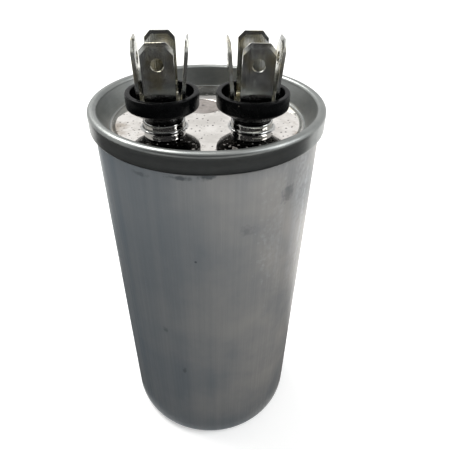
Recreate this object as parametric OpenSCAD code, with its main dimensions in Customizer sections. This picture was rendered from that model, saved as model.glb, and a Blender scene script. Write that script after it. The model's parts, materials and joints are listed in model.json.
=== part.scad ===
// Motor run capacitor: round aluminium can closed by a double-seamed tinplate lid,
// with two insulated four-way push-on terminals. Millimetres, +Z up, origin at the
// centre of the can's base.

/* [Can] */
// Outside diameter of the drawn can
can_d = 50; // [45:0.5:60]
// Height from the base to the top of the seam
can_h = 98.6; // [80:0.2:130]
// Wall of the can
can_wall = 0.45; // [0.3:0.05:0.6]
// Outside radius between the base and the side
base_r = 2.5; // [1:0.25:4]

/* [Seam] */
// Height of the rolled seam
seam_h = 4.5; // [4:0.1:6]
// Sheet of the lid
lid_t = 0.35; // [0.25:0.05:0.4]
// How far the can is necked in under the seam, on the radius
neck_in = 0.25; // [0.1:0.05:0.5]
// Free space between the folded layers of the seam
seam_gap = 0.03; // [0.02:0.01:0.05]
// Outside radius along the seam's top edges
seam_edge_r = 0.9; // [0.6:0.05:0.9]

/* [Lid] */
// Depth of the lid's deck below the seam's top
deck_depth = 4.2; // [3.6:0.1:6]
// How far the lid's inner wall leans in between the seam's top and the deck
wall_lean = 1.97; // [0.5:0.01:2.4]
// Depth of the groove round the deck
groove_depth = 0.4; // [0.2:0.05:0.8]
// Width of the groove round the deck
groove_w = 1; // [0.8:0.1:1.6]
// Turn of the lid against the frame's X axis, in degrees
lid_turn = 2; // [-10:0.5:10]
// Radius of the sealed filling hole's seat
seat_r = 4.4; // [3:0.1:5]
// Place of the filling hole, to the right of the lid's middle
fill_x = -1.2; // [-3:0.1:3]
// Place of the filling hole, behind the lid's middle
fill_y = 6.6; // [6:0.1:12]
// Radius of the filling hole
fill_hole_r = 1.2; // [0.8:0.1:1.6]

/* [Terminals] */
// Distance between the two terminal axes
term_pitch = 18.9; // [18:0.1:22]
// Distance from the lid's middle forward to the line through both terminals
term_front = 4.75; // [3:0.05:6]
// Sideways place of the middle between the terminals
term_side = 0.13; // [-0.5:0.01:0.5]
// Height of the raised collar round each terminal
collar_h = 1.9; // [1.4:0.1:2.4]
// Bore of the raised collar
collar_bore_r = 3.7; // [3.4:0.1:3.9]
// Width of the raised collar's wall with its rolled rim
collar_wall = 0.85; // [0.7:0.05:1.1]
// Outside radius of the insulator's cup
cup_r = 7.7; // [7.4:0.1:8.4]
// Height of the cup's rim above the deck
cup_top = 7.75; // [7:0.05:9]
// Height above the deck at which the cup's side meets its cone
cup_side_low = 4.85; // [4.4:0.05:5.2]
// Width of the cup's rim
cup_rim = 1.1; // [0.8:0.05:1.2]
// Radius of the cone where it sits on the collar
cone_foot_r = 4.15; // [4:0.05:4.3]
// Radius of the rivet's shank
rivet_r = 1.6; // [1.2:0.1:2]

/* [Tabs] */
// Width of a push-on tab
tab_w = 6.35; // [4.75:0.05:6.35]
// Thickness of the tab sheet
tab_t = 0.8; // [0.5:0.1:0.8]
// Height of the tab tips above the deck
tab_tip = 18.4; // [16:0.1:22]
// Distance from the terminal's axis to a tab's outer face
tab_reach = 4.95; // [4.7:0.05:5.1]
// Height above the deck at which the upright feet end and the tabs lean out
tab_knee = 8.3; // [8:0.1:10]
// Inside radius of the bend from plate to foot
bend_r = 0.6; // [0.4:0.1:0.8]
// Cut across each corner of a tab's tip
tip_cut = 1.3; // [0.8:0.1:1.8]
// Depth of the coined bevel on the tab's faces
coin_depth = 0.22; // [0.1:0.02:0.3]
// Length of the coined bevel along the tab
coin_run = 0.7; // [0.3:0.1:1.2]
// Radius of the latching hole in a tab
tab_hole_r = 1.2; // [0.8:0.05:1.4]
// Distance from the tab's tip to the middle of its hole
tab_hole_drop = 4; // [3.4:0.1:4.6]
// Turn of each set of tabs against the lid, in degrees
tab_turn = 2; // [-5:0.5:5]
// Outward lean of the left tabs: right, rear, left and front, in degrees
left_lean = [6.5, 3.5, 1.5, 1.2]; // [0:0.1:8]
// Outward lean of the right tabs: right, rear, left and front, in degrees
right_lean = [4.5, 2.2, 5, 1.2]; // [0:0.1:8]
// Sideways tilt of the left tabs in the same order, in degrees
left_tilt = [0.4, -0.3, 0.3, 0.8]; // [-3:0.1:3]
// Sideways tilt of the right tabs in the same order, in degrees
right_tilt = [-0.4, 0.9, 0.3, -2]; // [-3:0.1:3]

/* [Inside] */
// Space round the winding, inside the can's wall, for the wrap and the lower cup
winding_gap = 2.55; // [2.2:0.05:6]
// Height at which the wound film starts above the base
winding_low = 6; // [5:0.1:12]
// Height from the top of the wound film to the lid's deck
head_space = 14.4; // [12:0.1:30]
// Outside radius of the core tube
core_r = 4; // [3.2:0.1:5]
// Wall of the core tube
core_wall = 1.1; // [0.8:0.1:1.2]
// Thickness of the sprayed metal on each end of the winding
spray_t = 0.6; // [0.3:0.1:1]
// Thickness of the wrap round the winding
wrap_t = 0.55; // [0.3:0.05:1]
// How far the wrap stands above the upper sprayed metal
wrap_over = 0.8; // [0.4:0.1:2]
// Thickness of the floor of the lower insulating cup
floor_t = 1.5; // [1:0.1:3]
// Thickness of the pressure interrupter's disc
disc_t = 1.6; // [1:0.1:3]
// Height of the pressure interrupter's skirt
skirt_h = 2.6; // [1:0.1:4]
// Width of the lead straps
strap_w = 3; // [2:0.1:4]
// Thickness of the lead straps
strap_t = 0.4; // [0.2:0.05:0.6]
// Thickness of the rubber gasket under the lid
gasket_t = 1; // [0.6:0.1:1.5]
// Thickness of the lower insulator
lower_t = 2; // [1.5:0.1:3]
// Thickness of the steel washer
washer_t = 0.7; // [0.5:0.1:1]
// Outside radius of the steel washer
washer_r = 4.2; // [3.4:0.1:5]
// Outside radius of the lower insulator
flange_lower_r = 6.4; // [5.8:0.1:7]
// Width of the rim round a lead strap's eyelet
eyelet_rim = 1.2; // [0.8:0.1:1.6]
// Distance from the left rivet at which its strap turns down
strap_reach = 4.6; // [4:0.1:6]
// Length of the left strap's foot on the upper sprayed metal
left_foot = 5; // [3:0.5:7]
// Length of the right strap's foot under the lower sprayed metal
right_foot = 9; // [6:0.5:12]
// Free space round a strap where it passes the interrupter
strap_room = 0.5; // [0.3:0.1:1]
// Wall of the interrupter's skirt
skirt_wall = 1.2; // [0.8:0.1:2]
// Free space between the interrupter's disc and the can
disc_gap = 0.3; // [0.2:0.05:0.6]
// Free space between the lower cup and the can
cup_gap = 0.2; // [0.1:0.05:0.4]
// Height of the lower cup's side above its ledge
cup_side = 6; // [3:0.5:12]
// Width of the ledge that carries the winding
ledge_w = 5; // [3:0.5:8]

/* [Fits] */
// Free space round a shank, a neck or a disc in its hole
fit_gap = 0.05; // [0.02:0.01:0.1]

/* [Hidden] */
$fn = 96;
over = 1;                                       // how far a cut runs past the piece
seat_depth = 0.2;                               // depth of the filling hole's seat
seal_in = 0.4;                                  // the sealing ring's distance from the fold's sides

can_r = can_d / 2;
neck_r = can_r - neck_in;
hook_in_r = neck_r + seam_gap;                  // lid hook, inside face
hook_out_r = hook_in_r + lid_t;
flange_in_r = hook_out_r + seam_gap;            // can flange turned down over the lid hook
flange_out_r = flange_in_r + can_wall;
seam_in_r = flange_out_r + seam_gap;            // outer layer of the seam
seam_r = seam_in_r + lid_t;
chuck_out_r = neck_r - can_wall - seam_gap;     // lid wall inside the can's neck
chuck_in_r = chuck_out_r - lid_t;
deck_r = chuck_in_r - wall_lean;
curl_out_r = (seam_r - hook_in_r) / 2;
curl_in_r = curl_out_r - lid_t;
curl_mid_r = hook_in_r + curl_out_r;
curl_z = can_h - seam_h + curl_out_r;
hook_top = can_h - 1.9;                         // top of the lid hook
flange_low = can_h - 3.6;                       // lower edge of the can flange
flange_top = can_h - 0.85;
deck_z = can_h - deck_depth;
deck_low = deck_z - lid_t;

cup_floor = cup_side_low + 0.15;                // above the deck, as the next five
plate_top = cup_floor + tab_t;
cone_foot = collar_h + fit_gap;
gasket_low = -lid_t - gasket_t;
lower_low = gasket_low - lower_t;
washer_low = lower_low - washer_t;
strap_low = washer_low - strap_t;
head_r = rivet_r + 1;
head_h = 0.8;
neck_fit_r = collar_bore_r - fit_gap;
shank_hole_r = rivet_r + fit_gap;

winding_top = deck_z - head_space;
spray_low = winding_low - spray_t;
spray_top = winding_top + spray_t;
wrap_top = spray_top + wrap_over;
bore_r = can_r - can_wall;
winding_r = bore_r - winding_gap;
wrap_r = winding_r + fit_gap + wrap_t;
disc_low = wrap_top + skirt_h;
core_bore_r = core_r - core_wall;

// Points along an arc in the sketch plane.
function arc(c, r, a0, a1, n = 10) =
    [for (i = [0:n]) let (a = a0 + (a1 - a0) * i / n) c + r * [cos(a), sin(a)]];

// Angle of a terminal's direction from the lid's middle; side is -1 left, 1 right.
function term_angle(side) = atan2(-term_front, side * term_pitch / 2 + term_side);
function term_reach(side) = norm([side * term_pitch / 2 + term_side, term_front]);

// Places a terminal part; z = 0 is the deck's upper face.
module at_terminal(side)
    rotate([0, 0, lid_turn])
        translate([side * term_pitch / 2 + term_side, -term_front, deck_z])
            children();

module ring(inner, outer, low, high)
    difference() {
        translate([0, 0, low])
            cylinder(r = outer, h = high - low);
        translate([0, 0, low - over])
            cylinder(r = inner, h = high - low + 2 * over);
    }

// Drawn can: flat base, rounded corner, neck and the flange folded into the seam.
module can() {
    inner_base_r = base_r - can_wall;
    inner_neck_r = neck_r - can_wall;
    edge = 0.45;                                // rounding of the flange's edges
    edge_w = 0.35;
    slope = 0.7;                                // height of the necking
    neck_z = can_h - seam_h - 0.1;
    shelf = hook_top + 0.05;
    color([0.62, 0.64, 0.67])
        rotate_extrude()
            polygon(concat(
                [[0, 0]],
                arc([can_r - base_r, base_r], base_r, -90, 0),
                [[can_r, neck_z - slope],
                 [neck_r, neck_z],
                 [neck_r, shelf],
                 [flange_in_r, shelf],
                 [flange_in_r, flange_low],
                 [flange_out_r, flange_low],
                 [flange_out_r, flange_top - edge],
                 [flange_out_r - edge_w, flange_top],
                 [inner_neck_r + edge_w, flange_top],
                 [inner_neck_r, flange_top - edge],
                 [inner_neck_r, neck_z - 0.1],
                 [bore_r, neck_z - 0.1 - slope]],
                arc([can_r - base_r, base_r], inner_base_r, 0, -90),
                [[0, can_wall]]));
}

// One raised collar, drawn up from the deck round a terminal's hole.
module collar() {
    bead_r = 0.45;
    outer = collar_bore_r + collar_wall;
    foot_r = 0.6;
    sink = 0.15;
    rim = 0.12;
    rotate_extrude()
        polygon(concat(
            [[collar_bore_r, -sink],
             [outer + foot_r, -sink]],
            arc([outer + foot_r, foot_r], foot_r, 270, 180, 5),
            arc([outer - bead_r, collar_h - bead_r], bead_r, 0, 90, 6),
            [[collar_bore_r + rim, collar_h],
             [collar_bore_r, collar_h - rim]]));
}

// Section of the lid outside its terminal holes: deck, groove, wall and the seam's layers.
module lid_section() {
    groove_low = deck_z - groove_depth;
    groove_in_r = deck_r - groove_w;
    top_r = seam_edge_r;
    wall_foot = 0.3;
    side_w = 0.25;                              // breadth of the groove's sloping sides
    side_round = 0.1;
    polygon(concat(
        [[0, deck_z],
         [groove_in_r - side_w - side_round, deck_z],
         [groove_in_r, groove_low + side_round],
         [groove_in_r + side_w - side_round, groove_low],
         [deck_r - side_w, groove_low],
         [deck_r - side_round, groove_low + side_round],
         [deck_r, deck_z + wall_foot]],
        arc([chuck_in_r + top_r, can_h - top_r], top_r, 180, 90, 8),
        arc([seam_r - top_r, can_h - top_r], top_r, 90, 0, 8),
        arc([curl_mid_r, curl_z], curl_out_r, 0, -180, 12),
        [[hook_in_r, hook_top],
         [hook_out_r, hook_top]],
        arc([curl_mid_r, curl_z], curl_in_r, 180, 360, 8),
        arc([seam_r - top_r, can_h - top_r], top_r - lid_t, 0, 90, 6),
        arc([chuck_in_r + top_r, can_h - top_r], top_r - lid_t, 90, 180, 6),
        [[deck_r + lid_t + side_round, deck_z + wall_foot - side_round],
         [deck_r + lid_t, groove_low - side_round],
         [deck_r - side_round, groove_low - lid_t],
         [groove_in_r - side_round, groove_low - lid_t],
         [groove_in_r - 2 * side_w, deck_low],
         [0, deck_low]]));
}

// Tinplate lid: double seam, raised collars and the seat of the filling hole.
module lid() {
    seat_out_r = seat_r + lid_t + fit_gap;
    cut_r = collar_bore_r + lid_t;
    color([0.8, 0.8, 0.78])
        rotate([0, 0, lid_turn])
            difference() {
                union() {
                    difference() {
                        rotate_extrude()
                            lid_section();
                        for (side = [-1, 1])
                            translate([side * term_pitch / 2 + term_side, -term_front, deck_low - over])
                                cylinder(r = cut_r, h = lid_t + 2 * over);
                    }
                    for (side = [-1, 1])
                        translate([side * term_pitch / 2 + term_side, -term_front, deck_z])
                            collar();
                    translate([fill_x, fill_y, deck_low - seat_depth])
                        cylinder(r = seat_out_r, h = lid_t);
                }
                translate([fill_x, fill_y, deck_z - seat_depth])
                    cylinder(r = seat_r, h = over);
                translate([fill_x, fill_y, deck_low - over])
                    cylinder(r = fill_hole_r, h = 2 * over);
            }
}

// Ring of sealing compound in the top fold of the seam.
module seam_seal()
    color([0.2, 0.2, 0.19])
        ring(neck_r - can_wall + seal_in, flange_out_r - seal_in, flange_top + seam_gap, can_h - lid_t - seam_gap);

// Sealing plug of the filling hole: a low dome with a stem.
module fill_plug() {
    dome_h = 0.3;
    rim_h = 0.15;
    stem = 0.4;
    dimple_r = 0.25;
    dimple_low = 0.2;
    plug_r = seat_r - seat_depth;
    stem_r = fill_hole_r - fit_gap;
    sphere_r = (plug_r * plug_r + dome_h * dome_h) / (2 * dome_h);
    edge = asin(plug_r / sphere_r);
    dimple_edge = acos(dimple_r / sphere_r);
    color([0.66, 0.62, 0.56])
        rotate([0, 0, lid_turn])
            translate([fill_x, fill_y, deck_z - seat_depth])
                rotate_extrude()
                    polygon(concat(
                        [[0, -lid_t - stem],
                         [stem_r, -lid_t - stem],
                         [stem_r, 0],
                         [plug_r, 0]],
                        arc([0, rim_h + dome_h - sphere_r], sphere_r, 90 - edge, dimple_edge, 8),
                        [[0, dimple_low]]));
}

// Moulded insulator: cup, cone and the neck through the lid's collar.
module insulator(side)
    color([0.05, 0.05, 0.06])
        at_terminal(side)
            rotate_extrude()
                polygon(concat(
                    [[shank_hole_r, gasket_low],
                     [neck_fit_r, gasket_low],
                     [neck_fit_r, cone_foot],
                     [cone_foot_r, cone_foot]],
                    arc([cone_foot_r - 0.1, cone_foot + 0.35], 0.35, -45, 0, 3),
                    arc([cup_r - 0.7, cup_side_low + 0.2], 0.7, -45, 0, 6),
                    arc([cup_r - 0.25, cup_top - 0.25], 0.25, 0, 90, 5),
                    arc([cup_r - cup_rim + 0.25, cup_top - 0.25], 0.25, 90, 180, 5),
                    [[cup_r - cup_rim - 0.25, cup_floor + 0.3],
                     [cup_r - cup_rim - 0.55, cup_floor],
                     [shank_hole_r, cup_floor]]));

// Side view of two opposite feet and the plate between them, as one folded strip.
module strip_section() {
    outer_bend = bend_r + tab_t;
    in_x = tab_reach - tab_t;
    bend_x = tab_reach - outer_bend;
    knee_z = tab_knee - cup_floor;
    polygon(concat(
        arc([bend_x, outer_bend], outer_bend, -90, 0, 6),
        [[tab_reach, knee_z],
         [in_x, knee_z]],
        arc([bend_x, outer_bend], bend_r, 0, -90, 6),
        arc([-bend_x, outer_bend], bend_r, -90, -180, 6),
        [[-in_x, knee_z],
         [-tab_reach, knee_z]],
        arc([-bend_x, outer_bend], outer_bend, 180, 270, 6)));
}

// Edge view of a tab end with both faces coined, tip at z = 0 and pointing up.
module coined_end(drop)
    polygon([[-tab_t / 2, -drop],
             [tab_t / 2, -drop],
             [tab_t / 2, -coin_run],
             [tab_t / 2 - coin_depth, 0],
             [coin_depth - tab_t / 2, 0],
             [-tab_t / 2, -coin_run]]);

// Blade of one tab: tip at z = 0, thickness along X, outline cut by coined edges.
module tab_blade(drop) {
    wide = 3 * drop;
    corner = tab_w / 2 - tip_cut;
    difference() {
        intersection() {
            rotate([90, 0, 0])
                translate([0, 0, -tab_w / 2])
                    linear_extrude(tab_w)
                        coined_end(drop);
            for (turn = [-1, 1])
                translate([0, -turn * corner, 0])
                    rotate([turn * 45, 0, 0])
                        rotate([90, 0, 0])
                            translate([0, 0, -wide / 2])
                                linear_extrude(wide)
                                    coined_end(wide);
        }
        translate([-tab_t, 0, -tab_hole_drop])
            rotate([0, 90, 0])
                cylinder(r = tab_hole_r, h = 2 * tab_t);
    }
}

// One tab on its foot's knee, leaning out by lean and tilted sideways by tilt.
module tab(lean, tilt) {
    lap = 0.25;
    rise = (tab_tip - tab_knee) / cos(lean);
    translate([tab_reach - tab_t / 2, 0, tab_knee - cup_floor - lap / 2])
        rotate([tilt, 0, 0])
            rotate([0, lean, 0])
                translate([0, 0, rise])
                    tab_blade(rise + lap);
}

// Four-way tab: a cross-shaped stamping with its arms folded up into four tabs.
module tabs(side, lean, tilt) {
    foot_w = tab_w + 0.3;
    color([0.72, 0.71, 0.68])
        at_terminal(side)
            rotate([0, 0, tab_turn])
                translate([0, 0, cup_floor])
                    difference() {
                        union() {
                            for (turn = [0, 90])
                                rotate([90, 0, turn])
                                    translate([0, 0, -foot_w / 2])
                                        linear_extrude(foot_w)
                                            strip_section();
                            for (i = [0:3])
                                rotate([0, 0, 90 * i])
                                    tab(lean[i], tilt[i]);
                        }
                        translate([0, 0, -1])
                            cylinder(r = shank_hole_r, h = tab_t + 2);
                    }
}

// Rivet that clamps the tabs, both insulators, the washer and the lead strap.
module rivet(side)
    color([0.7, 0.7, 0.68])
        at_terminal(side)
            rotate_extrude()
                polygon(concat(
                    [[0, strap_low - head_h],
                     [head_r - 0.4, strap_low - head_h],
                     [head_r, strap_low - 0.3],
                     [head_r, strap_low],
                     [rivet_r, strap_low],
                     [rivet_r, plate_top],
                     [head_r, plate_top],
                     [head_r, plate_top + 0.25]],
                    arc([head_r - 0.5, plate_top + 0.3], 0.5, 0, 90, 5),
                    [[0, plate_top + head_h]]));

// Rubber gasket between the lid and the lower insulator.
module gasket(side)
    color([0.12, 0.12, 0.12])
        at_terminal(side)
            ring(collar_bore_r + 0.1, flange_lower_r - 0.6, gasket_low, -lid_t);

// Lower insulator: a moulded disc that clamps the gasket against the lid.
module lower_insulator(side)
    color([0.1, 0.1, 0.11])
        at_terminal(side)
            ring(shank_hole_r, flange_lower_r, lower_low, gasket_low);

// Steel washer under the lower insulator.
module washer(side)
    color([0.7, 0.71, 0.72])
        at_terminal(side)
            ring(shank_hole_r, washer_r, washer_low, lower_low);

// Upright strip of strap along a broken line in the plane s = distance from the axis, z.
module strap(points)
    rotate([90, 0, 0])
        translate([0, 0, -strap_w / 2])
            linear_extrude(strap_w)
                polygon(points);

// Eyelet of a strap round a rivet's shank.
module eyelet(reach, low)
    translate([reach, 0, low])
        cylinder(r = strap_w / 2 + eyelet_rim, h = strap_t);

module eyelet_hole(reach, low)
    translate([reach, 0, low - over])
        cylinder(r = shank_hole_r, h = strap_t + 2 * over);

// Lead of the left terminal: down through the interrupter to the upper sprayed metal.
module left_lead() {
    reach = term_reach(-1);
    low = deck_z + strap_low;
    turn_s = reach - strap_reach;
    color([0.78, 0.6, 0.42])
        rotate([0, 0, lid_turn + term_angle(-1)])
            difference() {
                union() {
                    strap([[reach, low],
                           [reach, low + strap_t],
                           [turn_s - strap_t, low + strap_t],
                           [turn_s - strap_t, spray_top],
                           [turn_s + left_foot, spray_top],
                           [turn_s + left_foot, spray_top + strap_t],
                           [turn_s, spray_top + strap_t],
                           [turn_s, low]]);
                    eyelet(reach, low);
                }
                eyelet_hole(reach, low);
            }
}

// Lead of the right terminal: through the core tube to the lower sprayed metal.
module right_lead() {
    reach = term_reach(1);
    low = deck_z + strap_low;
    half = strap_t / 2;
    color([0.78, 0.6, 0.42])
        rotate([0, 0, lid_turn + term_angle(1)])
            difference() {
                union() {
                    strap([[reach, low],
                           [reach, low + strap_t],
                           [-half, low + strap_t],
                           [-half, spray_low - strap_t],
                           [right_foot, spray_low - strap_t],
                           [right_foot, spray_low],
                           [half, spray_low],
                           [half, low]]);
                    eyelet(reach, low);
                }
                eyelet_hole(reach, low);
            }
}

// Pressure interrupter: a disc on a skirt that stands on the winding's wrap.
module interrupter_plate() {
    hole_r = strap_w / 2 + strap_room;
    turn_s = term_reach(-1) - strap_reach;
    color([0.85, 0.83, 0.74])
        difference() {
            union() {
                translate([0, 0, disc_low])
                    cylinder(r = bore_r - disc_gap, h = disc_t);
                translate([0, 0, wrap_top])
                    cylinder(r = wrap_r, h = skirt_h + disc_t / 2);
            }
            translate([0, 0, wrap_top - over])
                cylinder(r = wrap_r - skirt_wall, h = skirt_h + over);
            translate([0, 0, wrap_top])
                cylinder(r = hole_r, h = skirt_h + disc_t + over);
            rotate([0, 0, lid_turn + term_angle(-1)])
                translate([turn_s - strap_t / 2, 0, wrap_top])
                    cylinder(r = hole_r, h = skirt_h + disc_t + over);
        }
}

// Wound metallised film.
module winding()
    color([0.75, 0.75, 0.78])
        ring(core_r + fit_gap, winding_r, winding_low, winding_top);

// Core tube on which the film is wound.
module core_tube()
    color([0.9, 0.9, 0.86])
        ring(core_bore_r, core_r, spray_low, spray_top);

// Sprayed metal on one end of the winding.
module spray(low)
    color([0.6, 0.6, 0.58])
        ring(core_r + fit_gap, winding_r, low, low + spray_t);

// Plain film wrapped round the winding.
module winding_wrap()
    color([0.88, 0.82, 0.6])
        ring(winding_r + fit_gap, wrap_r, spray_low, wrap_top);

// Insulating cup between the winding and the can's base.
module lower_cup() {
    wall_r = bore_r - cup_gap;
    seat_r = wrap_r - ledge_w;
    side_top = spray_low + cup_side;
    corner = base_r - can_wall + cup_gap;
    color([0.82, 0.82, 0.8])
        rotate_extrude()
            polygon([[0, can_wall],
                     [wall_r - corner, can_wall],
                     [wall_r, can_wall + corner],
                     [wall_r, side_top],
                     [wrap_r + fit_gap, side_top],
                     [wrap_r + fit_gap, spray_low],
                     [seat_r, spray_low],
                     [seat_r, can_wall + floor_t],
                     [0, can_wall + floor_t]]);
}

can();
lid();
seam_seal();
fill_plug();
insulator(-1);  // left_insulator
insulator(1);  // right_insulator
tabs(-1, left_lean, left_tilt);  // left_tabs
tabs(1, right_lean, right_tilt);  // right_tabs
rivet(-1);  // left_rivet
rivet(1);  // right_rivet
gasket(-1);  // left_gasket
gasket(1);  // right_gasket
lower_insulator(-1);  // left_lower_insulator
lower_insulator(1);  // right_lower_insulator
washer(-1);  // left_washer
washer(1);  // right_washer
left_lead();
right_lead();
interrupter_plate();
winding();
core_tube();
spray(winding_top);  // upper_spray
spray(spray_low);  // lower_spray
winding_wrap();
lower_cup();
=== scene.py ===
import json
import math

import bmesh
import bpy
from mathutils import Matrix, Vector

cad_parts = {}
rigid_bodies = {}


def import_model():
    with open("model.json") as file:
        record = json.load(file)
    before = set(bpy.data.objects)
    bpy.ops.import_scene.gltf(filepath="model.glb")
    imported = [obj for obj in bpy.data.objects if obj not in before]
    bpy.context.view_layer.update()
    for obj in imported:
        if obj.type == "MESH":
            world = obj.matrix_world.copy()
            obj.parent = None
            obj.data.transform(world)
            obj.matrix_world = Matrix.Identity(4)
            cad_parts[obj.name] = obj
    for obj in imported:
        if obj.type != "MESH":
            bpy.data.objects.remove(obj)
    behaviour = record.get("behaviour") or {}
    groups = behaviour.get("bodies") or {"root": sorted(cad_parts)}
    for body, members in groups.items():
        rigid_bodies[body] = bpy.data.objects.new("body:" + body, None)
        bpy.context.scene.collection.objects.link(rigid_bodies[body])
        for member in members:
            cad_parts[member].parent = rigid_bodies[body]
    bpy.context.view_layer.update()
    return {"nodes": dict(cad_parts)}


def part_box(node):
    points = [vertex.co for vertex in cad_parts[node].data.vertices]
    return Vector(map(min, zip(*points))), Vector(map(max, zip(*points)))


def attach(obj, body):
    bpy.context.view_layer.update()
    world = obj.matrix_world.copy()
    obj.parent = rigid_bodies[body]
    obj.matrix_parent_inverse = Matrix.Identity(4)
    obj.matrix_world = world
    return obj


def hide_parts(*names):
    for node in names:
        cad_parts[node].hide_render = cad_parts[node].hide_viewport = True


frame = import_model()


# --- Can --------------------------------------------------------------------
# One cup of soft aluminium, deep-drawn and left as it came off the punch: flat
# base, rounded corner, straight side. Its mouth is necked in a little and folded
# outwards into the lid's seam, so no screw or weld holds the two together.

# Sizes are millimetres here and in every section; places, sizes and depths in
# materials are metres.
CAN_R = 25.0
CAN_H = 98.6
CAN_WALL = 0.45
CORNER_R = 2.5
DISH_R = 19.0
DISH_DEPTH = 0.15
FOOT_R = 21.2
NECK_R = CAN_R - 0.25
SEAM_FOOT = CAN_H - 4.5
HOOK_TOP = CAN_H - 1.9
FOLD_GAP = 0.05
FLANGE_LOW = CAN_H - 3.6
FLANGE_TOP = CAN_H - 0.85
FLANGE_R = 25.16


def arc(centre, radius, first, last, steps=8):
    """Points along an arc of a turned section, angles in degrees."""
    turn = (last - first) / steps
    return [(centre[0] + radius * math.cos(math.radians(first + turn * i)),
             centre[1] + radius * math.sin(math.radians(first + turn * i)))
            for i in range(steps + 1)]


def start_piece(name):
    """A new, empty mesh at the frame's origin, left in edit mode."""
    bpy.ops.object.select_all(action="DESELECT")
    bpy.ops.mesh.primitive_plane_add(size=0.001)
    piece = bpy.context.object
    piece.name = piece.data.name = name
    bpy.ops.object.mode_set(mode="EDIT")
    bpy.ops.mesh.select_mode(type="VERT")
    bpy.ops.mesh.delete(type="VERT")
    return piece


def draw_chain(points):
    """Draws a chain of edges through points and leaves all of it selected."""
    points = [Vector(point) / 1000 for point in points]
    bpy.ops.mesh.select_mode(type="VERT")
    bpy.ops.mesh.select_all(action="DESELECT")
    bpy.ops.mesh.primitive_plane_add(size=0.001, location=points[0])
    bpy.ops.mesh.merge(type="CENTER")
    for last, new in zip(points, points[1:]):
        bpy.ops.mesh.extrude_region_move(TRANSFORM_OT_translate={"value": new - last})
    bpy.ops.mesh.select_linked()


def turn_section(section, axis=(0, 0), steps=144):
    """Spins a section of (radius, height) round an upright axis."""
    draw_chain([(axis[0] + radius, axis[1], height) for radius, height in section])
    bpy.ops.mesh.spin(steps=steps, angle=2 * math.pi, axis=(0, 0, 1),
                      center=(axis[0] / 1000, axis[1] / 1000, 0))


def close_piece(piece, smooth=35):
    """Merges doubles, turns the faces outwards and rounds the shading of soft corners."""
    bpy.ops.mesh.select_all(action="SELECT")
    bpy.ops.mesh.remove_doubles(threshold=2e-6)
    bpy.ops.mesh.normals_make_consistent(inside=False)
    bpy.ops.object.mode_set(mode="OBJECT")
    bpy.ops.object.select_all(action="DESELECT")
    piece.select_set(True)
    bpy.context.view_layer.objects.active = piece
    bpy.ops.object.shade_smooth_by_angle(angle=math.radians(smooth))


can = start_piece("drawn_can")
turn_section(
    [(0, DISH_DEPTH), (DISH_R, DISH_DEPTH), (FOOT_R - 1, 0.1), (FOOT_R, 0)]
    + arc((CAN_R - CORNER_R, CORNER_R), CORNER_R, -90, 0, 14)
    + [(CAN_R, 30), (CAN_R, 60), (CAN_R, SEAM_FOOT - 0.8), (NECK_R, SEAM_FOOT - 0.1),
       (NECK_R, HOOK_TOP + FOLD_GAP), (FLANGE_R, HOOK_TOP + FOLD_GAP), (FLANGE_R, FLANGE_LOW),
       (FLANGE_R + CAN_WALL, FLANGE_LOW), (FLANGE_R + CAN_WALL, FLANGE_TOP - CAN_WALL),
       (FLANGE_R + 0.1, FLANGE_TOP), (NECK_R - 0.1, FLANGE_TOP),
       (NECK_R - CAN_WALL, FLANGE_TOP - CAN_WALL), (NECK_R - CAN_WALL, SEAM_FOOT - 0.2),
       (CAN_R - CAN_WALL, SEAM_FOOT - 0.9)]
    + arc((CAN_R - CORNER_R, CORNER_R), CORNER_R - CAN_WALL, 0, -90, 8)
    + [(0, DISH_DEPTH + CAN_WALL)])
close_piece(can)


def add_node(tree, kind, inputs=(), **settings):
    """Adds a node; an input is given as a value or as another node's output."""
    node = tree.nodes.new(kind)
    for name, value in settings.items():
        setattr(node, name, value)
    for name, value in dict(inputs).items():
        if isinstance(value, bpy.types.NodeSocket):
            tree.links.new(value, node.inputs[name])
        else:
            node.inputs[name].default_value = value
    return node


def maths(tree, operation, first, second=0.0, clamp=False):
    """One sum of two numbers."""
    return add_node(tree, "ShaderNodeMath", {0: first, 1: second},
                    operation=operation, use_clamp=clamp).outputs[0]


def vector_maths(tree, operation, first, second, output=0):
    """One sum of two places."""
    return add_node(tree, "ShaderNodeVectorMath", {0: first, 1: second},
                    operation=operation).outputs[output]


def noise(tree, place, scale, detail, **inputs):
    """Plain cloudy noise between 0 and 1, its scale in turns a metre."""
    return add_node(tree, "ShaderNodeTexNoise",
                    {"Vector": place, "Scale": scale, "Detail": detail, **inputs}).outputs["Fac"]


def spread(tree, value, low, high, to_low=0.0, to_high=1.0):
    """Stretches a range of values, clamped at both ends."""
    return add_node(tree, "ShaderNodeMapRange",
                    {"Value": value, "From Min": low, "From Max": high,
                     "To Min": to_low, "To Max": to_high}).outputs["Result"]


def mix_colour(tree, share, first, second, part=1.0):
    """Lays a second colour over the first where the share says so, in part or in full."""
    if part != 1.0:
        share = maths(tree, "MULTIPLY", share, part)
    first, second = [(*tone, 1) if isinstance(tone, tuple) else tone for tone in (first, second)]
    return add_node(tree, "ShaderNodeMix", {0: share, 6: first, 7: second},
                    data_type="RGBA").outputs[2]


def start_group(name, inputs, outputs):
    """A new node group with named sockets; returns its tree, its inputs and its output node."""
    tree = bpy.data.node_groups.new(name, "ShaderNodeTree")
    for socket, kind, value in inputs:
        made = tree.interface.new_socket(socket, in_out="INPUT", socket_type="NodeSocket" + kind)
        if value is not None:
            made.default_value = value
    for socket in outputs:
        tree.interface.new_socket(socket, in_out="OUTPUT", socket_type="NodeSocketFloat")
    given = tree.nodes.new("NodeGroupInput").outputs
    result = tree.nodes.new("NodeGroupOutput")
    return tree, given, result


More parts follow.
